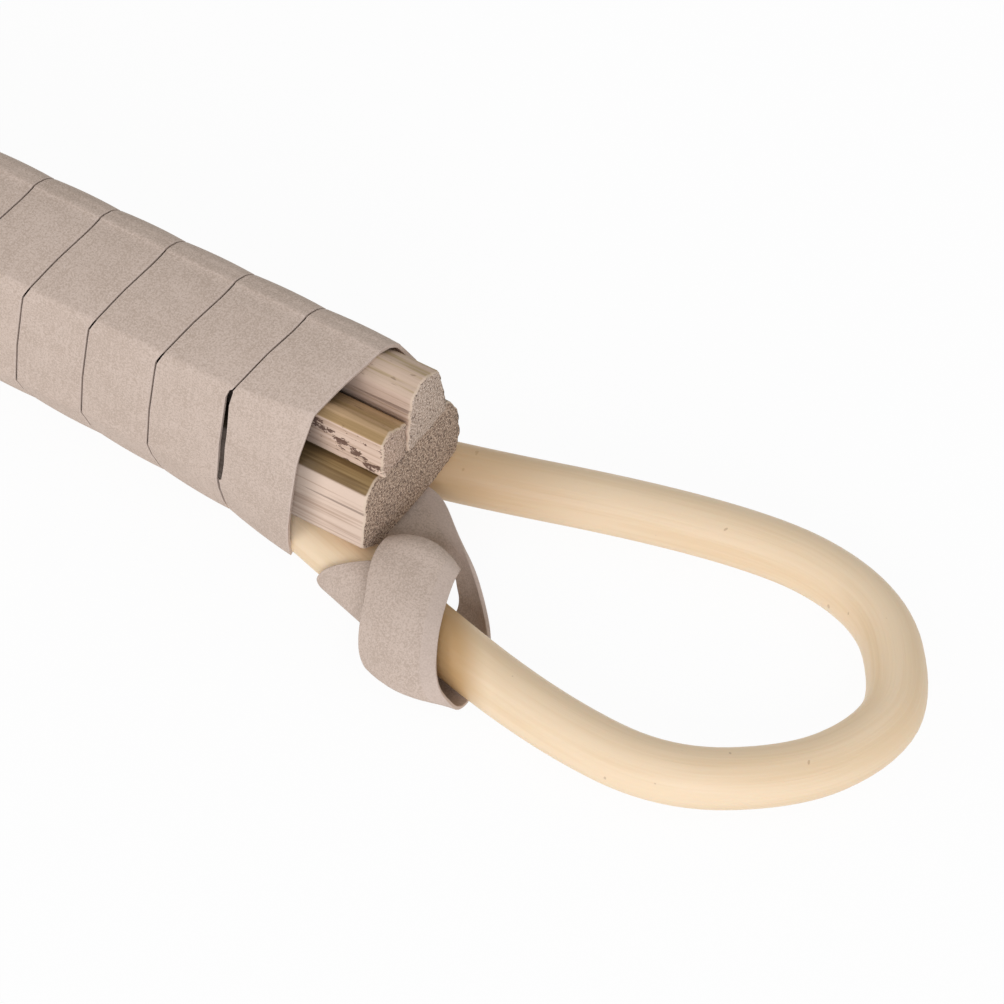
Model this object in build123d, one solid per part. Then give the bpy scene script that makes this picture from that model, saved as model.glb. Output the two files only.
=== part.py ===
"""A rattan carpet beater: a woven head of three canes, a wrapped handle and a hanging loop.

Millimetres. The beater lies flat. X runs along the handle, from the head to the hanging loop.
Y runs across and Z is up. The origin is under the middle of the beater, where it rests.
"""

from build123d import *
import math
import os

# The whole beater
overall_length = 720.0
throat_length = 115.1

# Cane, both in the head and in the hanging loop
cane_diameter = 6.0
cane_gap = 0.3
seat_gap = 0.1
butt_gap = 1.0
leg_butt_gap = 2.0

# The woven head
head_radius = 75.0
lobe_swing = 28.0
lobe_count = 5
weave_gap = 0.5
weave_flat_share = 0.97
weave_steps = 18
throat_steps = 8
throat_pull_share = 1.05
cane_places = {"head_cane_outer": -1, "head_cane_middle": 0, "head_cane_inner": 1}

# The wide core stick
core_width = 17.9
core_height = 10.4
core_nose_length = 22.0
core_nose_width = 9.0
core_nose_height = 5.0
core_outline_shares = [
    (-0.497, 0.20), (-0.494, 0.90), (-0.41, 1.0), (0.26, 1.0),
    (0.36, 0.90), (0.455, 0.62), (0.503, 0.30), (0.47, 0.07), (0.22, 0.0), (-0.33, 0.0),
]

# The two filler sticks on the core's upper face, at the grip end
filler_length = 199.0
top_stick_width = 7.3
top_stick_height = 8.6
top_stick_offset = -2.5
top_outline_shares = [
    (0.0, 0.0), (0.01, 0.87), (0.37, 1.0), (0.74, 0.82), (0.96, 0.25), (1.0, 0.0),
]
side_stick_width = 4.9
side_stick_height = 6.0
side_outline_shares = [
    (-0.82, 0.0), (-1.0, 0.92), (-0.66, 1.0), (0.0, 0.76), (0.0, 0.0),
]
stick_gap = 0.15
stick_step = 0.7
stick_corner = 0.6

# The hanging loop, a cane bent round with both legs in the handle
loop_length = 51.0
loop_width = 31.8
leg_spacing = 6.4
leg_offset = 2.9
leg_length = 125.0
loop_route_shares = [
    (-0.242, None, 1), (0.543, 0.572, 0), (0.848, 0.57, 0), (1.0, 0.255, 0), (1.0, 0.038, 0),
    (0.92, -0.201, 0), (0.724, -0.426, 0), (0.48, -0.428, 0), (0.186, -0.327, 0), (-0.461, None, -1),
]

# The flat tape wound round the handle, in two lengths
tape_width = 7.5
tape_pitch = 8.0
tape_thickness = 0.7
wrap_clearance = 0.2
wrap_look_share = 0.6
bare_length = 8.0
wrap_normals = [270, 232, 205, 180, 165, 140, 112, 90, 75, 50, 24, 0, -25, -52]
advance_shares = [0.12, 0.08, 0.03, 0.10, 0.09, 0.02, 0.22, 0.03, 0.03, 0.04, 0.11, 0.03, 0.03, 0.07]

# The tape's tail, hitched round the near leg of the loop
tail_width = 9.6
tail_neighbours = 7
# Along the leg, out from it and up, then the way across the tape and its width
tail_start_shares = [
    (-0.67, 1.20, 0.36, 0.43, 0.90, 0.80), (-0.37, 1.12, 0.36, 0.48, 0.88, 0.85),
    (0.0, 1.10, 0.36, 0.66, 0.75, 0.90), (0.38, 1.02, 0.20, 0.93, 0.30, 0.92),
]
# Degrees round the leg, then along it and out from it, the tape's lean and its width
tail_hitch_shares = [
    (184, 0.74, 0.87, 0.0, 1.0), (206, 0.83, 0.84, 0.0, 1.0), (228, 0.93, 0.80, 0.0, 1.0),
    (250, 1.03, 0.63, 0.0, 1.0), (272, 1.12, 0.585, 0.0, 1.0), (296, 1.18, 0.65, 0.0, 1.0),
    (316, 1.24, 0.72, -0.15, 1.0), (332, 1.26, 0.90, -0.30, 1.0), (348, 1.20, 0.96, -0.28, 1.04),
    (368, 1.06, 0.90, -0.15, 1.04), (392, 0.86, 0.85, 0.03, 1.04), (420, 0.68, 0.86, 0.22, 1.04),
    (446, 0.53, 0.90, 0.33, 1.0), (468, 0.45, 0.92, 0.35, 1.0), (492, 0.43, 0.84, 0.28, 0.95),
    (516, 0.36, 0.70, 0.12, 0.80), (546, 0.24, 0.61, 0.0, 0.62), (580, 0.11, 0.60, 0.0, 0.60),
    (608, 0.10, 0.59, 0.0, 0.60), (632, 0.12, 0.58, 0.0, 0.68), (658, 0.13, 0.585, 0.0, 0.80),
    (684, 0.14, 0.60, 0.0, 0.92), (710, 0.14, 0.61, 0.0, 1.0), (738, 0.18, 0.61, 0.0, 1.0),
    (762, 0.25, 0.61, 0.0, 1.0),
]

# Wire nails that pin the canes to the core
nail_diameter = 1.4
nail_head_diameter = 2.8
nail_head_height = 0.8
nail_clearance = 0.1
neck_nail_length = 19.0
loop_nail_length = 13.0
neck_nail_inset = 18.0
loop_nail_inset = 30.0
nail_spacing = 16.0

# Arcs at the corners of a cane's route
arc_share = 0.45
least_turn = 0.8
leg_samples = 400

# How far four points may stray from a plane and still bound a flat face of the tape
flat_tolerance = 0.000001

# Levels and stations that follow from the sizes above
cane_radius = cane_diameter / 2
cane_pitch = cane_diameter + cane_gap
leg_z = tape_thickness + wrap_clearance + cane_radius
core_bottom_z = leg_z + cane_radius + seat_gap
core_top_z = core_bottom_z + core_height
top_tail_z = core_top_z + seat_gap + cane_radius
weave_rise = (cane_diameter + weave_gap) / (2 * weave_flat_share)
head_z = weave_rise + cane_radius
core_end_x = overall_length / 2 - cane_radius - loop_length
top_tail_x = core_end_x - filler_length - butt_gap
bottom_tail_x = core_end_x - leg_length - leg_butt_gap


def weave_point(turn):
    """A point on the middle of the woven band, with its direction, for an angle in radians."""
    swing = lobe_count / 2
    radius = head_radius + lobe_swing * math.cos(swing * turn)
    growth = -swing * lobe_swing * math.sin(swing * turn)
    away = Vector(math.cos(turn), math.sin(turn), 0)
    aside = Vector(-math.sin(turn), math.cos(turn), 0)
    rise = weave_rise * math.sin(swing * turn)
    return away * radius + Vector(0, 0, head_z + rise), (away * growth + aside * radius).normalized()


def throat_points(start, start_way, end, end_way):
    """Points of a smooth bend between two places, without its ends, each with its direction."""
    pull = throat_pull_share * (end - start).length
    points = []
    for step in range(1, throat_steps):
        t = step / throat_steps
        flow = 3 * t * t - 2 * t * t * t
        place = start * (1 - flow) + end * flow
        place += (start_way * (t * (1 - t) ** 2) - end_way * (t * t * (1 - t))) * pull
        way = (end - start) * (6 * t - 6 * t * t)
        way += (start_way * ((1 - t) * (1 - 3 * t)) + end_way * (t * (3 * t - 2))) * pull
        way = Vector(way.X, way.Y, 0)
        points.append((place, way.normalized()))
    return points


def weave_track():
    """The middle of the band on its way twice round the head, about the head's centre."""
    first = math.pi / lobe_count
    last = 4 * math.pi - first
    steps = (lobe_count - 1) * weave_steps
    return [weave_point(first + (last - first) * step / steps) for step in range(steps + 1)]


def band_track():
    """The middle of the band from its upper tail, twice round the head, to its lower tail."""
    weave = [(Vector(head_x, 0, 0) + place, way) for place, way in weave_track()]
    towards, back = Vector(-1, 0, 0), Vector(1, 0, 0)
    upper = Vector(throat_x, 0, top_tail_z)
    lower = Vector(throat_x, 0, leg_z)
    track = [(Vector(top_tail_x, 0, top_tail_z), towards), (upper, towards)]
    track += throat_points(upper, towards, *weave[0])
    track += weave
    track += throat_points(*weave[-1], lower, back)
    track += [(lower, back), (Vector(bottom_tail_x, 0, leg_z), back)]
    return track


def rail(track, offset):
    """One cane's route: the band's track moved sideways by an offset."""
    return [place + Vector(-way.Y, way.X, 0) * offset for place, way in track]


def bend_radii(route):
    """The largest arcs that the runs of a route leave room for, and the points that bend."""
    points, radii = [route[0]], []
    for here, after in zip(route[1:-1], route[2:]):
        before = points[-1]
        turn = (here - before).get_angle(after - here)
        if turn < least_turn:
            continue
        run = min((here - before).length, (after - here).length)
        radii.append(arc_share * run / math.tan(math.radians(turn) / 2))
        points.append(here)
    points.append(route[-1])
    return points, radii


def cane_path(route):
    """A cane's path, of straight runs joined by the largest arcs that fit, and its least radius."""
    points, radii = bend_radii(route)
    return FilletPolyline(*points, radius=radii), min(radii)


def cane(route):
    """A round cane along straight runs joined by arcs."""
    path, least_radius = cane_path(route)
    start = Plane(origin=path @ 0, z_dir=path % 0)
    body = sweep(start * Circle(cane_radius), path=path)
    share = body.volume / (path.length * math.pi * cane_radius**2)
    print(f"cane {path.length:.1f} mm long, least radius {least_radius:.1f}, volume share {share:.4f}")
    return body


def head_reach():
    """How far the head's outermost cane reaches from the head's centre, away from the handle."""
    path, _ = cane_path(rail(weave_track(), cane_places["head_cane_outer"] * cane_pitch))
    return cane_radius - path.bounding_box().min.X


def leg_y(side):
    """Where a leg of the loop lies across the handle, deep inside it."""
    return leg_offset + side * leg_spacing / 2


def loop_route():
    """The hanging loop's route, from the end of one leg to the end of the other."""
    inner_x = core_end_x - leg_length
    points = [Vector(inner_x, leg_y(1), leg_z)]
    for along, across, side in loop_route_shares:
        y = leg_y(side) if across is None else across * loop_width
        points.append(Vector(core_end_x + along * loop_length, y, leg_z))
    points.append(Vector(inner_x, leg_y(-1), leg_z))
    return points


def core_outline():
    return [(y * core_width, core_bottom_z + z * core_height) for y, z in core_outline_shares]


def top_outline():
    return [
        (top_stick_offset + y * top_stick_width, core_top_z + z * top_stick_height)
        for y, z in top_outline_shares
    ]


def side_outline():
    edge = top_stick_offset - stick_gap
    return [
        (edge + y * side_stick_width, core_top_z + z * side_stick_height)
        for y, z in side_outline_shares
    ]


def stick(outline, low_x, high_x):
    """A split stick of one section, with its long corners slightly rounded."""
    section = Plane.YZ.offset(low_x) * Polygon(*outline, align=None)
    body = extrude(section, amount=high_x - low_x, dir=(1, 0, 0))
    long_edges = body.edges().filter_by(Axis.X)
    return fillet(long_edges, stick_corner)


def core_stick():
    """The core, with a wedge cut at the throat so that the bands can part round it."""
    tip_x = throat_x - core_nose_length
    body = stick(core_outline(), tip_x, core_end_x)
    over = core_nose_length
    side = (core_width - core_nose_width) / 2
    drop = core_height - core_nose_height
    blank = Polygon(
        (tip_x - over, core_bottom_z - over),
        (throat_x, core_bottom_z - over),
        (throat_x, core_top_z),
        (tip_x, core_top_z - drop),
        (tip_x - over, core_top_z - 2 * drop),
        align=None,
    )
    keep_side = extrude(Plane.XZ * blank, amount=core_width, both=True)
    plan = Polygon(
        (throat_x, core_width),
        (throat_x, core_width / 2),
        (tip_x, core_width / 2 - side),
        (tip_x - over, core_width / 2 - 2 * side),
        (tip_x - over, core_width),
        align=None,
    )
    trim = extrude(plan, amount=core_top_z + core_height, dir=(0, 0, 1))
    nose_box = Pos((tip_x + throat_x - over) / 2, 0, core_bottom_z + core_height / 2) * Box(
        throat_x - tip_x + over, 2 * core_width, 4 * core_height
    )
    nose = (body & keep_side) - trim - mirror(trim, about=Plane.XZ)
    return (body - nose_box) + (nose & nose_box)


def driven(x, y, level, pointing):
    """The place of a nail's head, turned so that the nail points up or down."""
    return Pos(x, y, level) * Rot(0 if pointing > 0 else 180, 0, 0)


def nail(x, y, level, length, pointing):
    """A wire nail with a flat head and a short point, driven up or down."""
    shank = length - nail_head_height - nail_diameter
    profile = [
        (0, 0), (nail_head_diameter / 2, 0), (nail_head_diameter / 2, nail_head_height),
        (nail_diameter / 2, nail_head_height), (nail_diameter / 2, nail_head_height + shank), (0, length),
    ]
    body = revolve(Plane.XZ * Polygon(*profile, align=None), axis=Axis.Z)
    return driven(x, y, level, pointing) * body


def nail_bore(x, y, level, length, pointing):
    """The hole that a nail fills, with a countersink for its head."""
    from_head = (Align.CENTER, Align.CENTER, Align.MIN)
    shaft = Cylinder(nail_diameter / 2 + nail_clearance, length + nail_clearance, align=from_head)
    sink = Cylinder(nail_head_diameter / 2 + nail_clearance, 2 * (nail_head_height + nail_clearance))
    return driven(x, y, level, pointing) * (shaft + sink)


def neck_nail_places():
    """Three nails from above, one through each upper tail."""
    level = top_tail_z + cane_radius - nail_clearance
    places = []
    for number, place in enumerate((-1, 1, 0)):
        x = throat_x + neck_nail_inset + number * nail_spacing
        places.append((x, place * cane_pitch, level, neck_nail_length, -1))
    return places


def loop_nail_places():
    """Two nails from below, one through each leg of the hanging loop."""
    level = leg_z - cane_radius + nail_clearance
    start = core_end_x - leg_length + loop_nail_inset
    return [
        (start, leg_y(1), level, loop_nail_length, 1),
        (start + nail_spacing, leg_y(-1), level, loop_nail_length, 1),
    ]


def leg_places():
    """Points along the loop's true path, for finding where a leg lies at a station."""
    path, _ = cane_path(loop_route())
    return [path @ (step / leg_samples) for step in range(leg_samples + 1)]


def leg_offsets(x):
    """Where the two legs of the loop lie across the handle at a station along it."""
    offsets = []
    for places in (loop_places, loop_places[::-1]):
        for start, end in zip(places, places[1:]):
            if start.X <= x <= end.X:
                offsets.append(start.Y + (end.Y - start.Y) * (x - start.X) / (end.X - start.X))
                break
        else:
            offsets.append(places[0].Y)
    return offsets


def corner_discs(outline):
    """Discs (y, z, radius) that fill the rounded corners of a stick's section."""
    discs = []
    corners = [Vector(*corner) for corner in outline]
    for before, here, after in zip(corners[-1:] + corners[:-1], corners, corners[1:] + corners[:1]):
        one, other = (before - here).normalized(), (after - here).normalized()
        half_angle = math.radians(one.get_angle(other)) / 2
        centre = here + (one + other).normalized() * (stick_corner / math.sin(half_angle))
        discs.append((centre.X, centre.Y, stick_corner))
    return discs


def members(x):
    """Discs (y, z, radius) whose common hull the tape goes round at a station."""
    discs = corner_discs(core_outline())
    reach = wrap_look_share * tape_pitch
    if x + reach > top_tail_x:
        discs += corner_discs(top_outline()) + corner_discs(side_outline())
    if x - reach < top_tail_x:
        discs += [(place * cane_pitch, top_tail_z, cane_radius) for place in (-1, 0, 1)]
    if x - reach < bottom_tail_x:
        discs += [(place * cane_pitch, leg_z, cane_radius) for place in (-1, 0, 1)]
    if x + reach > core_end_x - leg_length:
        for station in (x - reach, x + reach):
            discs += [(y, leg_z, cane_radius) for y in leg_offsets(min(station, core_end_x))]
    return discs


def wrap_corners(x, lift):
    """The corners of the tape's inner (lift 0) or outer outline round the members at a station."""
    discs = members(x)
    lines = []
    for degrees in wrap_normals:
        angle = math.radians(degrees)
        ny, nz = math.cos(angle), math.sin(angle)
        reach = max(ny * y + nz * z + radius for y, z, radius in discs)
        lines.append((ny, nz, reach + wrap_clearance + lift))
    corners = []
    for (ay, az, a), (by, bz, b) in zip(lines, lines[1:] + lines[:1]):
        cross = ay * bz - az * by
        corners.append(((a * bz - az * b) / cross, (ay * b - a * by) / cross))
    return corners


def wrap_stations(last_x, turns):
    """The tape's stations, (x, corner number), from its last corner back along the handle."""
    stations = [(last_x, len(wrap_normals) - 1)]
    x = last_x
    for _ in range(turns):
        for number in range(len(wrap_normals) - 1, -1, -1):
            x -= tape_pitch * advance_shares[number]
            stations.append((x, (number - 1) % len(wrap_normals)))
    return stations


def panel(first, second, third, fourth):
    """A face through four points: flat where they lie in one plane, and ruled elsewhere."""
    normal = (second - first).cross(fourth - first).normalized()
    if abs(normal.dot(third - first)) < flat_tolerance:
        return Face(Wire.make_polygon([first, second, third, fourth], close=True))
    return Face.make_surface_from_curves(Edge.make_line(first, second), Edge.make_line(fourth, third))


def strip(rings):
    """A solid strip through four-cornered sections, one panel a side between each two."""
    faces = [panel(*rings[0]), panel(*rings[-1])]
    for ring, following in zip(rings, rings[1:]):
        for corner in range(4):
            after = (corner + 1) % 4
            faces.append(panel(ring[corner], ring[after], following[after], following[corner]))
    return Solid(Shell(faces))


def wrap(last_x, turns, name):
    """One unbroken strip of tape, wound edge to edge round whatever the handle holds there."""
    rings = []
    half = tape_width / 2
    stations = wrap_stations(last_x, turns)
    for x, number in stations:
        iy, iz = wrap_corners(x, 0)[number]
        oy, oz = wrap_corners(x, tape_thickness)[number]
        corners = [(x - half, iy, iz), (x + half, iy, iz), (x + half, oy, oz), (x - half, oy, oz)]
        rings.append([Vector(*corner) for corner in corners])
    body = strip(rings)
    size = len(wrap_normals)
    gap = min(a[0] - b[0] for a, b in zip(stations, stations[size:])) - tape_width
    print(f"{name} {turns} turns, least gap to itself {gap:.2f} mm, volume {body.volume:.0f}")
    return body


def leg_frame():
    """The near leg's axis where it leaves the handle: a point, its direction and its inner side."""
    *_, end, start, _ = loop_route()
    way = (end - start).normalized()
    origin = start + way * ((core_end_x - start.X) / way.X)
    return origin, way, Vector(-way.Y, way.X, 0)


def tail_stations():
    """The tail's stations: its middle and the direction across it."""
    origin, way, side = leg_frame()
    up = Vector(0, 0, 1)
    stations = []
    for along, out, rise, turn_along, turn_out, width in tail_start_shares:
        middle = origin + way * (along * tail_width) + side * (out * cane_diameter)
        across = (way * turn_along + side * turn_out).normalized()
        stations.append((middle + up * (rise * cane_diameter), across * (width * tail_width / 2)))
    for degrees, along, radius, lean, width in tail_hitch_shares:
        angle = math.radians(degrees)
        out = up * math.sin(angle) - side * math.cos(angle)
        middle = origin + way * (along * tail_width) + out * (radius * cane_diameter)
        stations.append((middle, (way + out * lean).normalized() * (width * tail_width / 2)))
    return stations


def least_gap(stations):
    """The tail's least clear distance to itself, between stations that aren't neighbours."""
    shares = (-1, -0.5, 0, 0.5, 1)
    lines = [[middle + half * share for share in shares] for middle, half in stations]
    gaps = []
    for number, line in enumerate(lines):
        for other in lines[number + tail_neighbours:]:
            gaps += [(a - b).length for a in line for b in other]
    return min(gaps) - tape_thickness


def leg_tail():
    """The tape's tail: out from under the core, twice round the near leg, and cut off."""
    stations = tail_stations()
    middles = [middle for middle, _ in stations]
    rings = []
    for number, (middle, half) in enumerate(stations):
        before = middles[max(number - 1, 0)]
        after = middles[min(number + 1, len(middles) - 1)]
        thick = (after - before).cross(half).normalized() * (tape_thickness / 2)
        rings.append([
            middle - half - thick, middle + half - thick, middle + half + thick, middle - half + thick
        ])
    body = strip(rings)
    print(f"leg_tail least gap to itself {least_gap(stations):.2f} mm, volume {body.volume:.0f}")
    return body


def save(shape, name):
    shape.label = name
    export_step(shape, f"parts/{name}.step")


# Places that follow from the canes' true paths
head_x = head_reach() - overall_length / 2
throat_x = head_x + head_radius * math.cos(math.pi / lobe_count) + throat_length
loop_places = leg_places()


def main():
    os.makedirs("parts", exist_ok=True)
    print(f"handle {core_end_x - throat_x:.1f} mm long, from the throat to the sawn end")
    track = band_track()
    neck_bores = [nail_bore(*place) for place in neck_nail_places()]
    loop_bores = [nail_bore(*place) for place in loop_nail_places()]

    for name, place in cane_places.items():
        save(cane(rail(track, place * cane_pitch)) - neck_bores, name)
    save(cane(loop_route()) - loop_bores, "hanging_loop")

    stick_x = top_tail_x + butt_gap
    save(core_stick() - neck_bores - loop_bores, "core_stick")
    save(stick(top_outline(), stick_x, core_end_x + stick_step), "top_filler_stick")
    save(stick(side_outline(), stick_x, core_end_x + stick_step), "side_filler_stick")

    save(Compound(children=[nail(*place) for place in neck_nail_places()]), "neck_nails")
    save(Compound(children=[nail(*place) for place in loop_nail_places()]), "loop_nails")

    front_share = sum(advance_shares[2:])
    last_x = core_end_x - bare_length - tape_width / 2 + front_share * tape_pitch
    grip_turns = int((last_x - top_tail_x) / tape_pitch)
    save(wrap(last_x, grip_turns, "grip_wrap"), "grip_wrap")
    neck_x = last_x - grip_turns * tape_pitch - butt_gap / 2
    neck_turns = int((neck_x - throat_x) / tape_pitch)
    save(wrap(neck_x, neck_turns, "neck_wrap"), "neck_wrap")
    save(leg_tail(), "leg_tail")


main()
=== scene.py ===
"""The looks of a rattan carpet beater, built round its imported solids.

Metres, in the frame of the solids: X runs along the handle towards the hanging loop, Y across it
and Z up. Sizes written in the classes are in millimetres, and MM turns them into metres.
"""

import logging
import math
from collections.abc import Callable, Sequence
from dataclasses import dataclass, field
from enum import Enum

import bmesh
import bpy
from mathutils import Matrix, Vector, noise


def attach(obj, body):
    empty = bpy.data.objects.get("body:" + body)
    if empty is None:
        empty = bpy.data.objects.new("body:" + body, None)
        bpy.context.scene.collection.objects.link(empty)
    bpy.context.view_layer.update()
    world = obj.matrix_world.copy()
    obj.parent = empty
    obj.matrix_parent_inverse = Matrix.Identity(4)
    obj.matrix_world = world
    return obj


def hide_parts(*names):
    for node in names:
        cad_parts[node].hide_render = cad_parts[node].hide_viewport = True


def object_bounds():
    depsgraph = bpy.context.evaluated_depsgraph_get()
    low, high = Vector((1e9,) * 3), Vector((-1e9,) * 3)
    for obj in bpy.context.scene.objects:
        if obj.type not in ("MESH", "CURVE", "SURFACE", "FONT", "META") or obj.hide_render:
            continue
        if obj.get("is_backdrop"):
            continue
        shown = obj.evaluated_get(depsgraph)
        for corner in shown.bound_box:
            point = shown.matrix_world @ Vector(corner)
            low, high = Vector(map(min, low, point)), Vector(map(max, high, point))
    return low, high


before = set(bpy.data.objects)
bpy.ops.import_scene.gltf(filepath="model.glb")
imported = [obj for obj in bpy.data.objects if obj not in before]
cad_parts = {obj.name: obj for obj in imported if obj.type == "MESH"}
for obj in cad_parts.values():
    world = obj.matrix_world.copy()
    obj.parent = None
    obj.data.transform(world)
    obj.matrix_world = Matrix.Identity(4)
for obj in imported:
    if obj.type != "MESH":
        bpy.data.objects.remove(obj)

MM = 0.001
TINY = 0.001
UP = Vector((0.0, 0.0, 1.0))
EDGE_SHARE = 0.24
EDGE_DEGREES = 50.0
log = logging.getLogger("carpet_beater")
solids_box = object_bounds()

Colour = tuple[float, float, float, float]
Triple = tuple[float, float, float]
Placer = Callable[[int, int], Vector]
Socket = bpy.types.NodeSocket
Material = bpy.types.Material
Piece = bpy.types.Object


def tone(red: float, green: float, blue: float) -> Colour:
    """A colour written as 0 to 255 on a screen, as the linear values that a shader takes.

    Args:
        red: The red channel, from 0 to 255.
        green: The green one.
        blue: The blue one.

    Returns:
        The colour, with its alpha.
    """
    def linear(value: float) -> float:
        """One channel's linear value."""
        share = value / 255
        return share / 12.92 if share <= 0.04045 else ((share + 0.055) / 1.055) ** 2.4
    return (linear(red), linear(green), linear(blue), 1.0)


def eased(value: float, low: float, high: float, to_low: float, to_high: float) -> float:
    """Map a value's range evenly to another, and hold its ends."""
    share = min(max((value - low) / (high - low), 0.0), 1.0)
    return to_low + (to_high - to_low) * share


class Graph:
    """The nodes of a material or a world, added one by one and linked as they are added."""

    def __init__(self, owner: Material | bpy.types.World) -> None:
        """Start with no nodes.

        Args:
            owner: The new material or world.
        """
        owner.use_nodes = True
        self.owner = owner
        self.tree = owner.node_tree
        self.tree.nodes.clear()

    def node(self, kind: str, inputs: dict | None = None, **settings: object) -> bpy.types.Node:
        """Add a node.

        Args:
            kind: The node's type.
            inputs: Values or sockets for its inputs, by name or number.
            settings: Its other properties.

        Returns:
            The new node.
        """
        made = self.tree.nodes.new(kind)
        for key, value in settings.items():
            setattr(made, key, value)
        for key, value in (inputs or {}).items():
            if isinstance(value, Socket):
                self.tree.links.new(value, made.inputs[key])
            else:
                made.inputs[key].default_value = value
        return made

    def place(self) -> Socket:
        """The surface's place in the object's own coordinates."""
        return self.node("ShaderNodeTexCoord").outputs["Object"]

    def split(self, vector: Socket) -> list[Socket]:
        """The three parts of a vector."""
        return list(self.node("ShaderNodeSeparateXYZ", {0: vector}).outputs)

    def stretch(self, vector: Socket, scale: Sequence[float]) -> Socket:
        """A vector scaled by a factor on each axis."""
        return self.node("ShaderNodeMapping", {"Vector": vector, "Scale": scale}).outputs[0]

    def noise(self, vector: Socket, scale: float, detail: float = 2.0,
              roughness: float = 0.5) -> Socket:
        """Soft noise from about 0.3 to 0.7.

        Args:
            vector: Where the noise is read.
            scale: How many lumps there are to the metre.
            detail: How many finer layers it has.
            roughness: How strong the finer layers are.

        Returns:
            The noise's value.
        """
        inputs = {"Vector": vector, "Scale": scale, "Detail": detail, "Roughness": roughness}
        return self.node("ShaderNodeTexNoise", inputs).outputs["Fac"]

    def cells(self, vector: Socket, scale: float, random: float = 1.0) -> Socket:
        """The distance from the nearest of many scattered points, as for pores."""
        inputs = {"Vector": vector, "Scale": scale, "Randomness": random}
        return self.node("ShaderNodeTexVoronoi", inputs).outputs["Distance"]

    def span(self, value: Socket, low: float, high: float,
             to_low: float = 0.0, to_high: float = 1.0) -> Socket:
        """Map a range of values smoothly to another, and hold its ends."""
        inputs = {"Value": value, "From Min": low, "From Max": high, "To Min": to_low, "To Max": to_high}
        return self.node("ShaderNodeMapRange", inputs, interpolation_type="SMOOTHSTEP").outputs[0]

    def math(self, operation: str, first: Socket | float, second: Socket | float = 0.0) -> Socket:
        """Two values put together by an operation of the Math node."""
        return self.node("ShaderNodeMath", {0: first, 1: second}, operation=operation).outputs[0]

    def times(self, first: Socket | float, second: Socket | float) -> Socket:
        """One value times another."""
        return self.math("MULTIPLY", first, second)

    def plus(self, first: Socket | float, second: Socket | float) -> Socket:
        """Two values added."""
        return self.math("ADD", first, second)

    def mixed(self, parts: Sequence[tuple[Socket, float]]) -> Socket:
        """Several values, each times its own weight, added.

        Args:
            parts: The values and their weights.

        Returns:
            The sum.
        """
        total = None
        for value, weight in parts:
            value = self.times(value, weight)
            total = value if total is None else self.plus(total, value)
        return total

    def blend(self, share: Socket | float, first: Socket | Colour, second: Socket | Colour) -> Socket:
        """One colour turning into another by a share from 0 to 1."""
        inputs = {0: share, 6: first, 7: second}
        return self.node("ShaderNodeMix", inputs, data_type="RGBA").outputs[2]

    def shift(self, colour: Socket, value: Socket | float) -> Socket:
        """A colour made lighter or darker by a factor about 1."""
        inputs = {"Color": colour, "Value": value}
        return self.node("ShaderNodeHueSaturation", inputs).outputs[0]

    def relief(self, height: Socket, depth: float, over: Socket | None = None) -> Socket:
        """A bumpy normal.

        Args:
            height: The height, from 0 to 1.
            depth: How high 1 stands, in metres.
            over: The normal of a coarser relief under this one.

        Returns:
            The normal.
        """
        inputs = {"Height": height, "Distance": depth, "Strength": 1.0}
        if over is not None:
            inputs["Normal"] = over
        return self.node("ShaderNodeBump", inputs).outputs[0]

    def finish(self, **inputs: object) -> Material:
        """Close the graph with a Principled shader, its inputs named with _ for a space.

        Args:
            inputs: Values or sockets for the shader's inputs.

        Returns:
            The material.
        """
        named = {key.replace("_", " "): value for key, value in inputs.items()}
        shader = self.node("ShaderNodeBsdfPrincipled", named)
        self.node("ShaderNodeOutputMaterial", {"Surface": shader.outputs[0]})
        return self.owner


@dataclass(frozen=True)
class TapeFinish:
    """Matt taupe tape: a finely flecked face, soft streaks along it and pale cut edges."""

    name: str = "taupe_tape"
    face: Colour = tone(201, 183, 169)
    dark: Colour = tone(181, 163, 148)
    fleck: Colour = tone(218, 204, 193)
    edge: Colour = tone(198, 181, 169)
    width: float = 7.9
    edge_width: float = 0.16
    grain_scale: float = 5200.0
    mottle_scale: float = 300.0
    fleck_scale: float = 6400.0
    streak_scale: Triple = (260.0, 2600.0, 1.0)
    grain_depth: float = 0.06
    mottle_depth: float = 0.04

    def build(self) -> Material:
        """Make the material.

        Returns:
            The material.
        """
        graph = Graph(bpy.data.materials.new(self.name))
        place = graph.place()
        run = graph.node("ShaderNodeUVMap", uv_map="strip").outputs[0]
        grain = graph.noise(place, self.grain_scale, 3, 0.7)
        mottle = graph.noise(place, self.mottle_scale, 3, 0.6)
        streak = graph.noise(graph.stretch(run, self.streak_scale), 1.0, 2, 0.5)
        shade = graph.mixed(((grain, 0.72), (streak, 0.12), (mottle, 0.16)))
        colour = graph.blend(graph.span(shade, 0.42, 0.57), self.dark, self.face)
        flecks = graph.span(graph.noise(place, self.fleck_scale, 1, 0.5), 0.62, 0.74)
        colour = graph.blend(graph.times(flecks, 0.4), colour, self.fleck)
        across = graph.split(run)[1]
        rim = graph.span(across, 0.0, self.edge_width * MM, 1.0, 0.0)
        far = graph.span(across, (self.width - self.edge_width) * MM, self.width * MM)
        colour = graph.blend(graph.times(graph.math("MAXIMUM", rim, far), 0.5), colour, self.edge)
        normal = graph.relief(mottle, self.mottle_depth * MM)
        normal = graph.relief(grain, self.grain_depth * MM, normal)
        return graph.finish(Base_Color=colour, Roughness=0.78, Specular_IOR_Level=0.3, Normal=normal)


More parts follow.
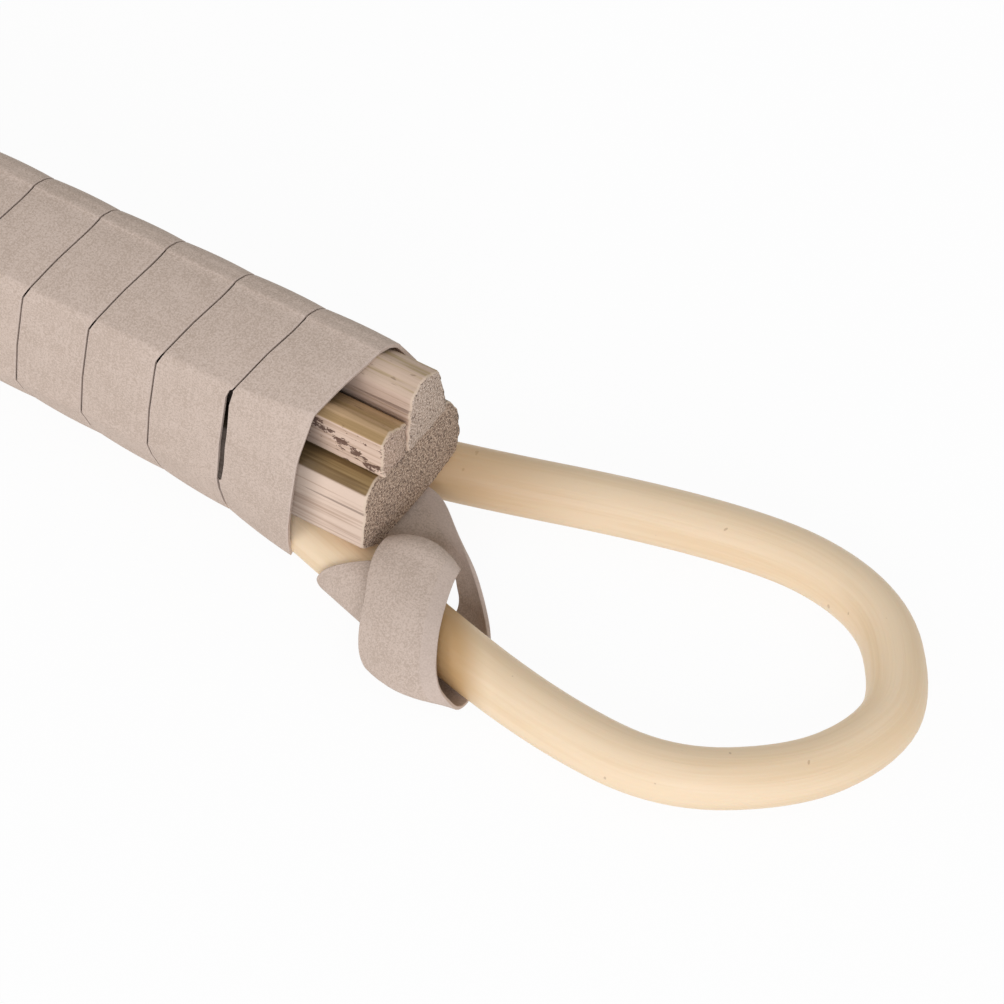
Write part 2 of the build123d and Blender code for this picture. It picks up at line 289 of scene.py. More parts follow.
@dataclass(frozen=True)
class CaneFinish:
    """Smooth peeled cane: cream and tan, satin, with long faint streaks, specks and joints, and on the loop
    painted shade beside the handle.
    """

    name: str
    pale: Colour = tone(234, 211, 178)
    tan: Colour = tone(227, 201, 164)
    speck: Colour = tone(150, 112, 78)
    joint: Colour = tone(200, 166, 128)
    joint_spacing: float = 230.0
    first_joint: float = 60.0
    joint_width: float = 2.6
    run_scale: float = 28.0
    fine_scale: Triple = (1.6, 9.0, 9.0)
    spot_scale: float = 900.0
    relief: float = 0.05
    # The colour of the painted shade on the loop's legs next to the handle.
    painted_shade: Colour = tone(186, 148, 98)
    paints_shade: bool = False

    def painted_shade_share(self, graph: Graph, place: Socket) -> Socket:
        """How much painted shade the cane gets: on the far leg beside the core and on the near leg beside
        the tail.

        Args:
            graph: The material's nodes.
            place: The surface's place.

        Returns:
            The share, from 0 to 1.
        """
        along, across, _ = graph.split(place)
        slant = graph.plus(along, graph.times(across, 0.73))
        near = graph.times(graph.span(slant, 309.5 * MM, 313.5 * MM, 0.9, 0.0),
                           graph.span(along, 308.0 * MM, 313.0 * MM))
        near = graph.times(near, graph.span(across, -6.0 * MM, -2.0 * MM, 1.0, 0.0))
        far = graph.times(graph.span(along, 306.0 * MM, 322.0 * MM, 0.6, 0.0),
                          graph.span(across, -2.0 * MM, 2.0 * MM))
        return graph.plus(near, far)

    def build(self) -> Material:
        """Make the material.

        Returns:
            The material.
        """
        graph = Graph(bpy.data.materials.new(self.name))
        place = graph.place()
        run = graph.node("ShaderNodeUVMap", uv_map="strip").outputs[0]
        along, round_share, _ = graph.split(run)
        angle = graph.times(round_share, 2 * math.pi)
        ring = graph.node("ShaderNodeCombineXYZ", {
            0: graph.times(along, self.run_scale),
            1: graph.math("COSINE", angle), 2: graph.math("SINE", angle)}).outputs[0]
        broad = graph.noise(ring, 1.1, 3, 0.55)
        fine = graph.noise(graph.stretch(ring, self.fine_scale), 1.0, 3, 0.6)
        shade = graph.mixed(((broad, 0.65), (fine, 0.35)))
        colour = graph.blend(graph.span(shade, 0.36, 0.6), self.tan, self.pale)
        spots = graph.span(graph.noise(place, self.spot_scale, 1, 0.5), 0.775, 0.80)
        colour = graph.blend(graph.times(spots, 0.4), colour, self.speck)
        if self.paints_shade:
            # Painted shade: the legs darken where the core and the tail would shade them.
            colour = graph.blend(self.painted_shade_share(graph, place), colour, self.painted_shade)
        turn = graph.math("PINGPONG", graph.math("SUBTRACT", along, self.first_joint * MM),
                          self.joint_spacing * MM / 2)
        joint = graph.span(turn, 0.0, self.joint_width * MM, 1.0, 0.0)
        colour = graph.blend(graph.times(joint, 0.6), colour, self.joint)
        normal = graph.relief(graph.plus(fine, graph.times(joint, 1.6)), self.relief * MM)
        rough = graph.span(fine, 0.35, 0.65, 0.36, 0.5)
        return graph.finish(Base_Color=colour, Roughness=rough, Specular_IOR_Level=0.45, Normal=normal,
                            Subsurface_Weight=0.12, Subsurface_Radius=(0.003, 0.0016, 0.0008),
                            Subsurface_Scale=1.0)


class Face(Enum):
    """Which side of a split stick keeps the plant's outside."""

    SPLIT = "split"
    WAXY = "waxy"
    BARKED = "barked"


@dataclass(frozen=True)
class SplitFinish:
    """A split and sawn rattan stick: grooved sides, an outer face and an end full of pores."""

    name: str
    side: Colour
    groove: Colour
    upper: Colour
    streak: Colour
    end: Colour
    end_dark: Colour
    pore: Colour
    pore_spacing: float
    pore_size: float
    face: Face = Face.SPLIT
    bark: Colour = tone(84, 54, 40)
    rim: Colour = tone(214, 194, 172)
    # Painted shade: from full colour at shade_to the stick darkens to shade_from at the tape's edge, and
    # darker still down to dark_to under the tape.
    dark_to: float = 292.0
    shade_from: float = 298.0
    shade_to: float = 301.6
    fibre_scale: Triple = (45.0, 3300.0, 3300.0)
    broad_scale: Triple = (60.0, 620.0, 620.0)
    crack_scale: Triple = (30.0, 1900.0, 1900.0)
    streak_scale: Triple = (55.0, 1300.0, 1300.0)
    fleck_scale: Triple = (700.0, 2600.0, 2600.0)
    lump_scale: Triple = (700.0, 700.0, 1300.0)
    grit_scale: float = 5000.0
    warp_scale: float = 1500.0
    warp: float = 0.6
    relief: float = 0.08

    def sides(self, graph: Graph, place: Socket) -> tuple[Socket, Socket]:
        """The long faces' colour and relief.

        Args:
            graph: The material's nodes.
            place: The surface's place.

        Returns:
            The colour and the height of its fibres.
        """
        fibre = graph.noise(graph.stretch(place, self.fibre_scale), 1.0, 2, 0.55)
        broad = graph.noise(graph.stretch(place, self.broad_scale), 1.0, 2, 0.5)
        crack = graph.noise(graph.stretch(place, self.crack_scale), 1.0, 1, 0.4)
        shade = graph.mixed(((fibre, 0.5), (broad, 0.5)))
        colour = graph.blend(graph.span(shade, 0.38, 0.54), self.groove, self.side)
        cracks = graph.span(crack, 0.66, 0.73)
        colour = graph.blend(graph.times(cracks, 0.5), colour, self.bark)
        return colour, graph.math("SUBTRACT", fibre, cracks)

    def top(self, graph: Graph, place: Socket) -> Socket:
        """The upper face's colour.

        Args:
            graph: The material's nodes.
            place: The surface's place.

        Returns:
            The colour.
        """
        streak = graph.noise(graph.stretch(place, self.streak_scale), 1.0, 3, 0.6)
        colour = graph.blend(graph.span(streak, 0.44, 0.6), self.upper, self.streak)
        flecks = graph.span(graph.noise(graph.stretch(place, self.fleck_scale), 1.0, 1, 0.5), 0.70, 0.77)
        return graph.blend(graph.times(flecks, 0.4), colour, self.bark)

    def spots(self, graph: Graph, place: Socket) -> Socket:
        """How much bark clings to the front face, in an uneven slanting row.

        Args:
            graph: The material's nodes.
            place: The surface's place.

        Returns:
            The share, from 0 to 1.
        """
        lumps = graph.noise(graph.stretch(place, self.lump_scale), 1.0, 3, 0.75)
        along, _, height = graph.split(place)
        line = graph.span(along, 298 * MM, 306 * MM, 21.6 * MM, 18.4 * MM)
        away = graph.math("ABSOLUTE", graph.math("SUBTRACT", height, line))
        row = graph.span(away, 0.5 * MM, 1.5 * MM, 0.12, 0.0)
        return graph.span(graph.plus(lumps, row), 0.60, 0.64)

    def ends(self, graph: Graph, place: Socket) -> tuple[Socket, Socket]:
        """The sawn end's colour and relief.

        Args:
            graph: The material's nodes.
            place: The surface's place.

        Returns:
            The colour and the height.
        """
        flat = graph.stretch(place, (0.0, 1.0, 1.0))
        grit = graph.noise(flat, self.grit_scale, 3, 0.75)
        ground = graph.blend(graph.span(grit, 0.40, 0.62), self.end_dark, self.end)
        lumps = graph.node("ShaderNodeTexNoise", {"Vector": flat, "Scale": self.warp_scale}).outputs["Color"]
        warp = graph.node("ShaderNodeMix", {0: self.warp * MM, 4: flat, 5: lumps}, data_type="VECTOR")
        cell = graph.cells(warp.outputs[1], 1 / (self.pore_spacing * MM))
        pores = graph.span(cell, self.pore_size * 0.6, self.pore_size, 1.0, 0.0)
        colour = graph.blend(graph.times(pores, 0.75), ground, self.pore)
        return colour, graph.math("SUBTRACT", grit, pores)

    def build(self) -> Material:
        """Make the material.

        Returns:
            The material.
        """
        graph = Graph(bpy.data.materials.new(self.name))
        place = graph.place()
        towards = graph.split(graph.node("ShaderNodeNewGeometry").outputs["Normal"])
        sawn = graph.span(towards[0], 0.66, 0.86)
        upper = graph.span(towards[2], 0.45, 0.7)
        colour, height = self.sides(graph, place)
        if self.face is Face.BARKED:
            colour = graph.blend(graph.times(self.spots(graph, place), 0.9), colour, self.bark)
        colour = graph.blend(upper, colour, self.top(graph, place))
        rim = graph.times(graph.span(towards[0], 0.2, 0.45), 0.7)
        colour = graph.blend(rim, colour, self.rim)
        ends, pitted = self.ends(graph, place)
        colour = graph.blend(sawn, colour, ends)
        along = graph.split(place)[0]
        # Painted shade near and under the tape's edge; nose lifts it off towards the head end, below x = 0.
        tape_edge_shade = graph.span(along, self.shade_from * MM, self.shade_to * MM, 0.42, 1.0)
        under_tape_shade = graph.span(along, self.dark_to * MM, self.shade_from * MM, 0.3, 1.0)
        nose = graph.span(along, 0.0, 0.05, 1.0, 0.0)
        colour = graph.shift(colour, graph.math("MAXIMUM", graph.times(tape_edge_shade, under_tape_shade), nose))
        mixed = graph.node("ShaderNodeMix", {0: sawn, 2: height, 3: pitted}).outputs[0]
        waxy = graph.span(towards[2], 0.45, 0.7, 0.8, 0.5 if self.face is Face.WAXY else 0.7)
        return graph.finish(Base_Color=colour, Roughness=waxy, Specular_IOR_Level=0.35,
                            Normal=graph.relief(mixed, self.relief * MM))


@dataclass(frozen=True)
class NailFinish:
    """Plain drawn steel wire, dulled, with fine rings round it."""

    name: str = "wire_steel"
    colour: Colour = tone(176, 174, 168)
    dull: Colour = tone(120, 114, 104)
    wear_scale: float = 1500.0
    drawn_scale: Triple = (300.0, 300.0, 9000.0)
    relief: float = 0.02

    def build(self) -> Material:
        """Make the material.

        Returns:
            The material.
        """
        graph = Graph(bpy.data.materials.new(self.name))
        place = graph.place()
        wear = graph.noise(place, self.wear_scale, 3, 0.6)
        drawn = graph.noise(graph.stretch(place, self.drawn_scale), 1.0, 2, 0.5)
        colour = graph.blend(graph.span(wear, 0.4, 0.6), self.colour, self.dull)
        return graph.finish(Base_Color=colour, Metallic=1.0, Roughness=graph.span(wear, 0.4, 0.6, 0.3, 0.5),
                            Normal=graph.relief(drawn, self.relief * MM))


@dataclass(frozen=True)
class PaperFinish:
    """A white studio sheet that shows white to the camera and keeps a light shadow."""

    name: str = "studio_white"
    shown: float = 0.94
    bounce: float = 0.5

    def build(self) -> Material:
        """Make the material.

        Returns:
            The material.
        """
        graph = Graph(bpy.data.materials.new(self.name))
        path = graph.node("ShaderNodeLightPath").outputs
        seen = graph.math("MAXIMUM", path["Is Camera Ray"], path["Is Glossy Ray"])
        seen = graph.math("MAXIMUM", seen, path["Is Transmission Ray"])
        matt = graph.node("ShaderNodeBsdfDiffuse", {"Color": tone(250, 250, 250)})
        glow = graph.node("ShaderNodeEmission", {"Color": (1, 1, 1, 1), "Strength": 1.0})
        share = graph.math("MAXIMUM", graph.times(seen, self.shown), self.bounce)
        mixed = graph.node("ShaderNodeMixShader", {0: share, 1: matt.outputs[0], 2: glow.outputs[0]})
        graph.node("ShaderNodeOutputMaterial", {"Surface": mixed.outputs[0]})
        return graph.owner


def bent_grid(name: str, along: int, across: int, place: Placer, lengths: Sequence[float],
              widths: Sequence[float], closed: bool = False) -> Piece:
    """Bend a flat grid into a strip or a tube, with its own lengths kept in the UV map strip.

    Args:
        name: The piece's name.
        along: How many steps it has lengthwise.
        across: How many steps it has across, or round a tube.
        place: Gives the place of a point from its two numbers.
        lengths: How far along the flat strip each lengthwise step lies.
        widths: How far across, or what share of the way round, each other step lies.
        closed: Whether the two long edges meet, as on a tube, which then gets end caps.

    Returns:
        The piece, with smooth faces.
    """
    mesh = bpy.data.meshes.new(name)
    bm = bmesh.new()
    half = along / 2
    bmesh.ops.create_grid(bm, x_segments=along, y_segments=across, size=half)
    strip = bm.loops.layers.uv.new("strip")
    where = {}
    for vert in bm.verts:
        where[vert] = (round(vert.co.x + half), round((vert.co.y + half) * across / along))
    for face in bm.faces:
        face.smooth = True
        for loop in face.loops:
            first, second = where[loop.vert]
            loop[strip].uv = (lengths[first], widths[second])
    for vert, (first, second) in where.items():
        vert.co = place(first, second)
    if closed:
        bmesh.ops.remove_doubles(bm, verts=bm.verts, dist=TINY * MM)
        bmesh.ops.holes_fill(bm, edges=bm.edges, sides=0)
        bmesh.ops.recalc_face_normals(bm, faces=bm.faces)
    bm.to_mesh(mesh)
    bm.free()
    return added(name, mesh)


def added(name: str, data: bpy.types.ID) -> Piece:
    """A new object of the scene that holds a mesh, a lamp or a camera.

    Args:
        name: The object's name.
        data: What it holds.

    Returns:
        The object.
    """
    piece = bpy.data.objects.new(name, data)
    bpy.context.scene.collection.objects.link(piece)
    return piece


def distances(points: Sequence[Vector]) -> list[float]:
    """How far along a line each of its points lies.

    Args:
        points: The line.

    Returns:
        One distance for each point.
    """
    totals = [0.0]
    for before, after in zip(points, points[1:]):
        totals.append(totals[-1] + (after - before).length)
    return totals


def line_way(points: Sequence[Vector], number: int) -> Vector:
    """The step from the point before one point of a line to the point after it."""
    return points[min(number + 1, len(points) - 1)] - points[max(number - 1, 0)]


def flowing(points: Sequence[Vector], pace: float) -> list[Vector]:
    """A smooth line that starts and ends on its guide points and bends towards the others.

    Args:
        points: The guide points.
        pace: About how far apart the new points are.

    Returns:
        The line's points.
    """
    middles = [points[0]] + [(a + b) / 2 for a, b in zip(points[1:-1], points[2:-1])] + [points[-1]]
    line = [middles[0]]
    for start, guide, end in zip(middles, points[1:-1], middles[1:]):
        steps = max(2, round(((guide - start).length + (end - guide).length) / pace))
        for step in range(1, steps + 1):
            t = step / steps
            line.append(start * (1 - t) ** 2 + guide * (2 * t * (1 - t)) + end * t * t)
    return line


def wave_line(points: Sequence[Vector], steps: int) -> list[Vector]:
    """A smooth line through all of its points, with a number of steps between each two.

    Args:
        points: The points.
        steps: How many steps lie between each two.

    Returns:
        The line's points.
    """
    line = []
    last = len(points) - 1
    for number in range(last):
        a, b, c, d = (points[min(max(number + shift, 0), last)] for shift in (-1, 0, 1, 2))
        for step in range(steps):
            t = step / steps
            line.append(0.5 * (2 * b + (c - a) * t + (2 * a - 5 * b + 4 * c - d) * t * t
                               + (3 * b - a - 3 * c + d) * t ** 3))
    return line + [points[-1]]


@dataclass
class RoundCane:
    """A round cane along a line of guide points, in millimetres."""

    name: str
    guides: Sequence[Vector]
    diameter: float = 6.0
    pace: float = 2.0
    sides: int = 28

    def line(self) -> list[Vector]:
        """The middle of the cane, in millimetres."""
        return flowing(self.guides, self.pace)

    def build(self) -> Piece:
        """Roll the cane's skin round its line.

        Returns:
            The piece.
        """
        line = self.line()
        rings = []
        for number, point in enumerate(line):
            way = line_way(line, number).normalized()
            side = UP.cross(way).normalized()
            rings.append((point, side, way.cross(side)))

        def place(first: int, second: int) -> Vector:
            """A point of the skin.

            Args:
                first: The step along.
                second: The step round the cane.

            Returns:
                The point, in metres.
            """
            point, side, over = rings[first]
            angle = 2 * math.pi * (second % self.sides) / self.sides - math.pi / 2
            return (point + (side * math.cos(angle) + over * math.sin(angle)) * self.diameter / 2) * MM
        lengths = [total * MM for total in distances(line)]
        shares = [side / self.sides for side in range(self.sides + 1)]
        return bent_grid(self.name, len(line) - 1, self.sides, place, lengths, shares, closed=True)


@dataclass
class Beater:
    """The sizes that several pieces of the beater share, in millimetres."""

    overall_length: float = 720.0
    head_x: float = -260.7723
    head_radius: float = 75.0
    lobes: int = 5
    throat_length: float = 115.1
    cane_diameter: float = 6.0
    cane_gap: float = 0.3
    seat_gap: float = 0.1
    loop_length: float = 51.0
    leg_spacing: float = 6.4
    leg_offset: float = 2.9
    leg_length: float = 125.0
    leg_z: float = 3.9
    core_bottom_z: float = 7.0
    core_height: float = 10.4
    filler_length: float = 199.0
    tape_pitch: float = 8.0

    @property
    def core_end_x(self) -> float:
        """The sawn end of the core."""
        return self.overall_length / 2 - self.cane_diameter / 2 - self.loop_length

    @property
    def throat_x(self) -> float:
        """Where the head's canes meet the handle."""
        return self.head_x + self.head_radius * math.cos(math.pi / self.lobes) + self.throat_length

    @property
    def top_tail_x(self) -> float:
        """Where the canes on the core end."""
        return self.core_end_x - self.filler_length - 1.0

    @property
    def bottom_tail_x(self) -> float:
        """Where the canes under the core end."""
        return self.core_end_x - self.leg_length - 2.0

    @property
    def core_top_z(self) -> float:
        """The core's upper face."""
        return self.core_bottom_z + self.core_height

    @property
    def top_tail_z(self) -> float:
        """The middle of the canes on the core."""
        return self.core_top_z + self.seat_gap + self.cane_diameter / 2

    @property
    def cane_pitch(self) -> float:
        """From the middle of one cane to the next."""
        return self.cane_diameter + self.cane_gap


@dataclass
class WovenHead:
    """Three canes side by side, woven over and under into an open head of five lobes."""

    beater: Beater
    swing: float = 28.0
    rise: float = 3.3505
    steps: int = 18
    throat_steps: int = 8
    throat_pull: float = 1.05
    mouth_hold: float = 8.0
    places: dict[str, int] = field(default_factory=lambda: {"outer": -1, "middle": 0, "inner": 1})

    def weave_point(self, turn: float) -> tuple[Vector, Vector]:
        """A point on the middle of the woven band, with its direction, for an angle in radians.

        Args:
            turn: The angle round the head, which goes on past a whole turn.

        Returns:
            The point and its direction.
        """
        wave = self.beater.lobes / 2
        radius = self.beater.head_radius + self.swing * math.cos(wave * turn)
        growth = -wave * self.swing * math.sin(wave * turn)
        away = Vector((math.cos(turn), math.sin(turn), 0.0))
        aside = Vector((-math.sin(turn), math.cos(turn), 0.0))
        height = self.rise + self.beater.cane_diameter / 2 + self.rise * math.sin(wave * turn)
        place = away * radius + Vector((self.beater.head_x, 0.0, height))
        return place, (away * growth + aside * radius).normalized()

    def throat(self, start: Vector, start_way: Vector, end: Vector,
               end_way: Vector) -> list[tuple[Vector, Vector]]:
        """Points of the smooth bend between the handle and the weave, each with its direction.

        Args:
            start: Where the bend starts.
            start_way: The direction there.
            end: Where it ends.
            end_way: The direction there.

        Returns:
            The points between the two, each with its direction.
        """
        pull = self.throat_pull * (end - start).length
        points = []
        for step in range(1, self.throat_steps):
            t = step / self.throat_steps
            flow = 3 * t * t - 2 * t ** 3
            place = start * (1 - flow) + end * flow
            place = place + (start_way * (t * (1 - t) ** 2) - end_way * (t * t * (1 - t))) * pull
            way = (end - start) * (6 * t - 6 * t * t)
            way = way + (start_way * ((1 - t) * (1 - 3 * t)) + end_way * (t * (3 * t - 2))) * pull
            points.append((place, Vector((way.x, way.y, 0.0)).normalized()))
        return points

    def track(self) -> list[tuple[Vector, Vector]]:
        """The middle of the band, from its upper tail, twice round the head, to its lower tail.

        Returns:
            Its guide points, each with its direction.
        """
        b = self.beater
        first = math.pi / b.lobes
        last = 4 * math.pi - first
        steps = (b.lobes - 1) * self.steps
        weave = [self.weave_point(first + (last - first) * step / steps) for step in range(steps + 1)]
        towards, back = Vector((-1.0, 0.0, 0.0)), Vector((1.0, 0.0, 0.0))
        upper, lower = Vector((b.throat_x, 0, b.top_tail_z)), Vector((b.throat_x, 0, b.leg_z))
        hold = Vector((self.mouth_hold, 0.0, 0.0))
        track = [(Vector((b.top_tail_x, 0, b.top_tail_z)), towards)]
        track += [(upper + hold, towards), (upper, towards)]
        track += self.throat(upper, towards, *weave[0]) + weave
        track += self.throat(*weave[-1], lower, back) + [(lower, back), (lower + hold, back)]
        return track + [(Vector((b.bottom_tail_x, 0, b.leg_z)), back)]

    def build(self, finish: Material) -> list[Piece]:
        """Build the three canes.

        Args:
            finish: The canes' material.

        Returns:
            The pieces.
        """
        track = self.track()
        pieces = []
        for name, place in self.places.items():
            offset = place * self.beater.cane_pitch
            guides = [point + Vector((-way.y, way.x, 0)) * offset for point, way in track]
            cane = RoundCane(f"woven_cane_{name}", guides, self.beater.cane_diameter, 3.0, 24).build()
            pieces.append(dress(cane, finish, "head_cane", f"head_cane_{name}"))
        return pieces


@dataclass
class HangingLoop:
    """One cane bent round, with both legs held in the handle."""

    beater: Beater
    width: float = 31.8
    shares: Sequence[tuple] = (
        (-0.42, None, 1), (-0.18, None, 1), (0.543, 0.592, 0), (0.848, 0.56, 0), (1.0, 0.255, 0),
        (1.0, 0.038, 0), (0.92, -0.201, 0), (0.724, -0.426, 0), (0.48, -0.428, 0), (0.186, -0.327, 0),
        (-0.461, None, -1),
    )

    def cane(self) -> RoundCane:
        """The loop's cane.

        Returns:
            The cane, with its guide points.
        """
        b = self.beater
        inner_x = b.core_end_x - b.leg_length
        guides = [Vector((inner_x, b.leg_offset + b.leg_spacing / 2, b.leg_z))]
        for along, across, side in self.shares:
            y = b.leg_offset + side * b.leg_spacing / 2 if across is None else across * self.width
            guides.append(Vector((b.core_end_x + along * b.loop_length, y, b.leg_z)))
        guides.append(Vector((inner_x, b.leg_offset - b.leg_spacing / 2, b.leg_z)))
        return RoundCane("loop_cane", guides, b.cane_diameter, 1.2, 40)

    def near_leg(self) -> tuple[Vector, Vector, Vector]:
        """The near leg where it leaves the handle: a point, its direction and its inner side.

        Returns:
            The point, the direction and the side, each in the part's frame.
        """
        guides = self.cane().guides
        end, start = guides[-3], guides[-2]
        way = (end - start).normalized()
        origin = start + way * ((self.beater.core_end_x - start.x) / way.x)
        return origin, way, Vector((-way.y, way.x, 0.0))

    def build(self, finish: Material) -> list[Piece]:
        """Build the loop."""
        return [dress(self.cane().build(), finish, "loop_cane", "hanging_loop")]


@dataclass
class HandleSection:
    """What the handle holds at each station, as discs that the tape is pulled round."""

    beater: Beater
    loop: HangingLoop
    core_width: float = 17.9
    core_shares: Sequence[tuple[float, float]] = (
        (-0.497, 0.20), (-0.494, 0.90), (-0.41, 1.0), (0.28, 1.0), (0.375, 0.92),
        (0.475, 0.65), (0.513, 0.31), (0.475, 0.07), (0.22, 0.0), (-0.33, 0.0),
    )
    top_size: tuple[float, float] = (7.3, 8.6)
    top_offset: float = -2.5
    top_shares: Sequence[tuple[float, float]] = (
        (0.0, 0.0), (0.01, 0.87), (0.37, 1.0), (0.74, 0.82), (0.96, 0.25), (1.0, 0.0),
    )
    side_size: tuple[float, float] = (4.9, 6.0)
    side_shares: Sequence[tuple[float, float]] = (
        (-0.82, 0.0), (-1.0, 0.92), (-0.66, 1.0), (0.0, 0.76), (0.0, 0.0),
    )
    stick_gap: float = 0.15
    spread_share: float = 1.34
    spread_to: float = 293.0
    close_from: float = 299.5
    corner: float = 0.6
    blur: float = 2.5
    long_blur: float = 12.0
    cover: float = 13.0
    blur_from: float = 240.0
    blur_to: float = 264.0
    sway: float = 5.0
    top_sway: float = 9.0
    top_degrees: float = 72.0

    def __post_init__(self) -> None:
        """Work out the outlines and the discs that don't change along the handle."""
        b = self.beater
        edge = self.top_offset - self.stick_gap
        self.core_outline = [(y * self.core_width, b.core_bottom_z + z * b.core_height)
                             for y, z in self.core_shares]
        self.top_outline = [(self.top_offset + y * self.top_size[0], b.core_top_z + z * self.top_size[1])
                            for y, z in self.top_shares]
        self.side_outline = [(edge + y * self.side_size[0], b.core_top_z + z * self.side_size[1])
                             for y, z in self.side_shares]
        self.core = self.corner_discs(self.core_outline)
        self.top = self.corner_discs(self.top_outline)
        self.side = self.corner_discs(self.side_outline)
        line = self.loop.cane().line()
        middle = len(line) // 2
        self.legs = (line[:middle], line[:middle:-1])
        self.known = {}

    def corner_discs(self, outline: list[tuple[float, float]]) -> list[Triple]:
        """Discs (y, z, radius) that fill the rounded corners of a stick's section.

        Args:
            outline: The section's corners.

        Returns:
            One disc for each corner.
        """
        corners = [Vector(corner) for corner in outline]
        discs = []
        for before, here, after in zip(corners[-1:] + corners[:-1], corners, corners[1:] + corners[:1]):
            one, other = (before - here).normalized(), (after - here).normalized()
            centre = here + (one + other).normalized() * (self.corner / math.sin(one.angle(other) / 2))
            discs.append((centre.x, centre.y, self.corner))
        return discs

    def leg_places(self, x: float) -> list[float]:
        """Where the two legs of the loop lie across the handle at a station.

        Args:
            x: The station.

        Returns:
            The y of each leg's middle.
        """
        x = min(max(x, self.legs[0][0].x), self.beater.core_end_x)
        found = []
        for leg in self.legs:
            for start, end in zip(leg, leg[1:]):
                if start.x <= x <= end.x:
                    found.append(start.y + (end.y - start.y) * (x - start.x) / (end.x - start.x))
                    break
        return found

    def discs(self, x: float) -> list[Triple]:
        """The discs at a station, to the nearest quarter of a millimetre.

        Args:
            x: The station.

        Returns:
            The discs, each as y, z and radius.
        """
        x = round(x * 4) / 4
        if x in self.known:
            return self.known[x]
        b = self.beater
        places = [place * b.cane_pitch for place in (-1, 0, 1)]
        discs = list(self.core)
        if x < b.top_tail_x + self.cover:
            discs += [(y, b.top_tail_z, b.cane_diameter / 2) for y in places]
        if x > b.top_tail_x - self.cover:
            spread = eased(x, self.spread_to, self.close_from, self.spread_share, 1.0)
            discs += self.top
            for y, z, radius in self.side:
                discs.append((self.top_offset + (y - self.top_offset) * spread, z, radius))
        if x < b.bottom_tail_x + self.cover:
            discs += [(y, b.leg_z, b.cane_diameter / 2) for y in places]
        if x > b.core_end_x - b.leg_length - self.cover:
            discs += [(y, b.leg_z, b.cane_diameter / 2) for y in self.leg_places(x)]
        self.known[x] = discs
        return discs

    def skin_point(self, x: float, degrees: float, lift: float) -> Vector:
        """The point (y, z) of the wound tape that faces a direction, with its corners eased.

        Args:
            x: The station.
            degrees: The direction, counted from the back over the top.
            lift: How far the tape stands off.

        Returns:
            The point.
        """
        middle = Vector((0.0, self.beater.core_top_z - self.beater.core_height / 4))
        point = Vector((0.0, 0.0))
        sway = self.sway + self.top_sway * max(0.0, math.cos(math.radians(degrees - self.top_degrees))) ** 4
        reach = eased(x, self.blur_from, self.blur_to, self.long_blur, self.blur)
        parts = (-1.0, -0.5, 0.0, 0.5, 1.0)
        shifts = [(reach * along, sway * turn) for along in parts for turn in parts]
        for along, turn in shifts:
            angle = math.radians(degrees + turn)
            out = Vector((math.cos(angle), math.sin(angle)))
            y, z, radius = max(self.discs(x + along), key=lambda d: d[0] * out.x + d[1] * out.y + d[2])
            support = Vector((y, z)) + out * (radius + lift) - middle
            support.rotate(Matrix.Rotation(-math.radians(turn), 2))
            point += support + middle
        return point / len(shifts)


